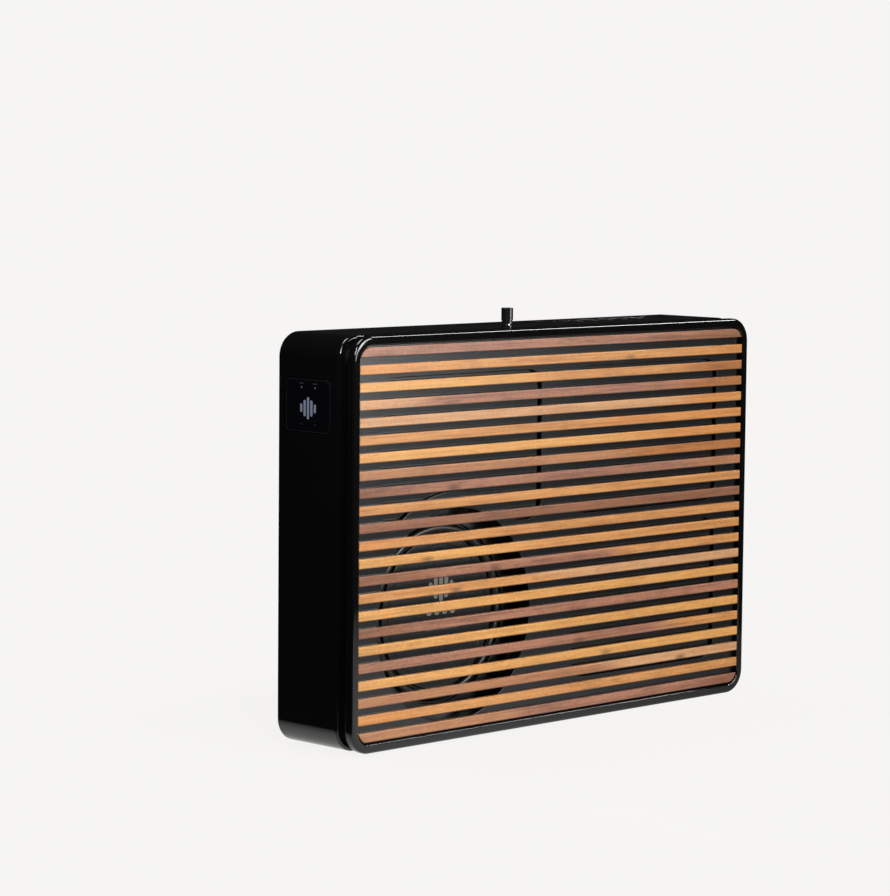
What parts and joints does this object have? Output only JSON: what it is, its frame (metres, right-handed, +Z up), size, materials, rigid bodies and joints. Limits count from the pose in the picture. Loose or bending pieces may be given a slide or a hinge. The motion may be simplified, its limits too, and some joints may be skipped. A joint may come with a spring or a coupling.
{
  "type": "mini hifi system",
  "caption": "Flat active loudspeaker cabinet with a slatted wooden front, a recessed woofer, three flat radiators and a push dial on top.",
  "frame": {"origin": "middle of the footprint, on the surface that the feet stand on", "axes": "+Z up; the slatted front looks along -Y; +X to the right seen from the front"},
  "size_m": [0.48, 0.089, 0.3496],
  "materials": {
    "piano_black": "polished piano-gloss lacquer",
    "satin_grey": "near-black satin",
    "matt_black": "fine matt black",
    "panel_black": "blue-black gloss",
    "honey_wood": "oiled, fine straight grain",
    "walnut": "oiled, fine straight grain",
    "rubber": "matt",
    "black_plastic": "satin black",
    "zinc": "turned",
    "ferrite": "dull dark grey",
    "copper": "lacquered winding",
    "aluminium": "extruded",
    "circuit_board": "solder resist",
    "foam": "open-cell foam",
    "light_lens": "frosted lens",
    "spider_cloth": "resin-stiffened cloth"
  },
  "bodies": {
    "cabinet": {"cabinet_shell": "piano_black", "rear_panel": "matt_black", "front_frame": "piano_black", "baffle": "satin_grey", "slat_01": "walnut", "slat_02": "honey_wood", "slat_03": "honey_wood", "slat_04": "honey_wood", "slat_05": "honey_wood", "slat_06": "honey_wood", "slat_07": "honey_wood", "slat_08": "walnut", "slat_09": "walnut", "slat_10": "honey_wood", "slat_11": "walnut", "slat_12": "honey_wood", "slat_13": "honey_wood", "slat_14": "walnut", "slat_15": "honey_wood", "slat_16": "honey_wood", "slat_17": "walnut", "slat_18": "honey_wood", "slat_19": "walnut", "slat_20": "honey_wood", "slat_21": "walnut", "slat_22": "honey_wood", "slat_23": "walnut", "radiator_upper_left": "satin_grey", "radiator_upper_right": "satin_grey", "radiator_lower_right": "satin_grey", "exciter_upper_left": "ferrite", "exciter_upper_right": "ferrite", "exciter_lower_right": "ferrite", "woofer_basket": "black_plastic", "woofer_surround": "rubber", "woofer_spider": "spider_cloth", "woofer_magnet": "ferrite", "control_strip": "panel_black", "encoder_body": "black_plastic", "side_plate": "panel_black", "status_light_1": "light_lens", "status_light_2": "light_lens", "connector_plate": "matt_black", "mains_inlet": "black_plastic", "socket_block": "black_plastic", "amplifier_board": "circuit_board", "heat_sink": "aluminium", "power_supply": "circuit_board", "damping_pad": "foam", "foot_front_left": "rubber", "foot_front_right": "rubber", "foot_back_left": "rubber", "foot_back_right": "rubber"},
    "woofer_cone": {"woofer_diaphragm": "satin_grey", "woofer_coil": "copper"},
    "dial_rotor": {"encoder_rotor": "zinc"},
    "dial": {"volume_dial": "black_plastic", "dial_shaft": "zinc"},
    "rocker": {"power_rocker": "black_plastic"},
    "pairing": {"pair_button": "black_plastic"}
  },
  "joints": [
    {"name": "woofer_stroke", "type": "slide", "parent": "cabinet", "child": "woofer_cone", "axis": [0, -1, 0], "range_m": [-0.005, 0.005], "stiffness_N_per_m": 1300, "deforming": ["woofer_surround", "woofer_spider"]},
    {"name": "volume_turn", "type": "hinge", "parent": "cabinet", "child": "dial_rotor", "pos_m": [-0.013, 0.0085, 0.3353], "axis": [0, 0, -1], "continuous": true},
    {"name": "volume_press", "type": "slide", "parent": "dial_rotor", "child": "dial", "axis": [0, 0, -1], "range_m": [0, 0.0005], "stiffness_N_per_m": 6000},
    {"name": "power_tilt", "type": "hinge", "parent": "cabinet", "child": "rocker", "pos_m": [0.068, 0.0377, 0.0655], "axis": [-1, 0, 0], "range_deg": [0, 16]},
    {"name": "pair_press", "type": "slide", "parent": "cabinet", "child": "pairing", "axis": [0, -1, 0], "range_m": [0, 0.001], "stiffness_N_per_m": 1500}
  ]
}
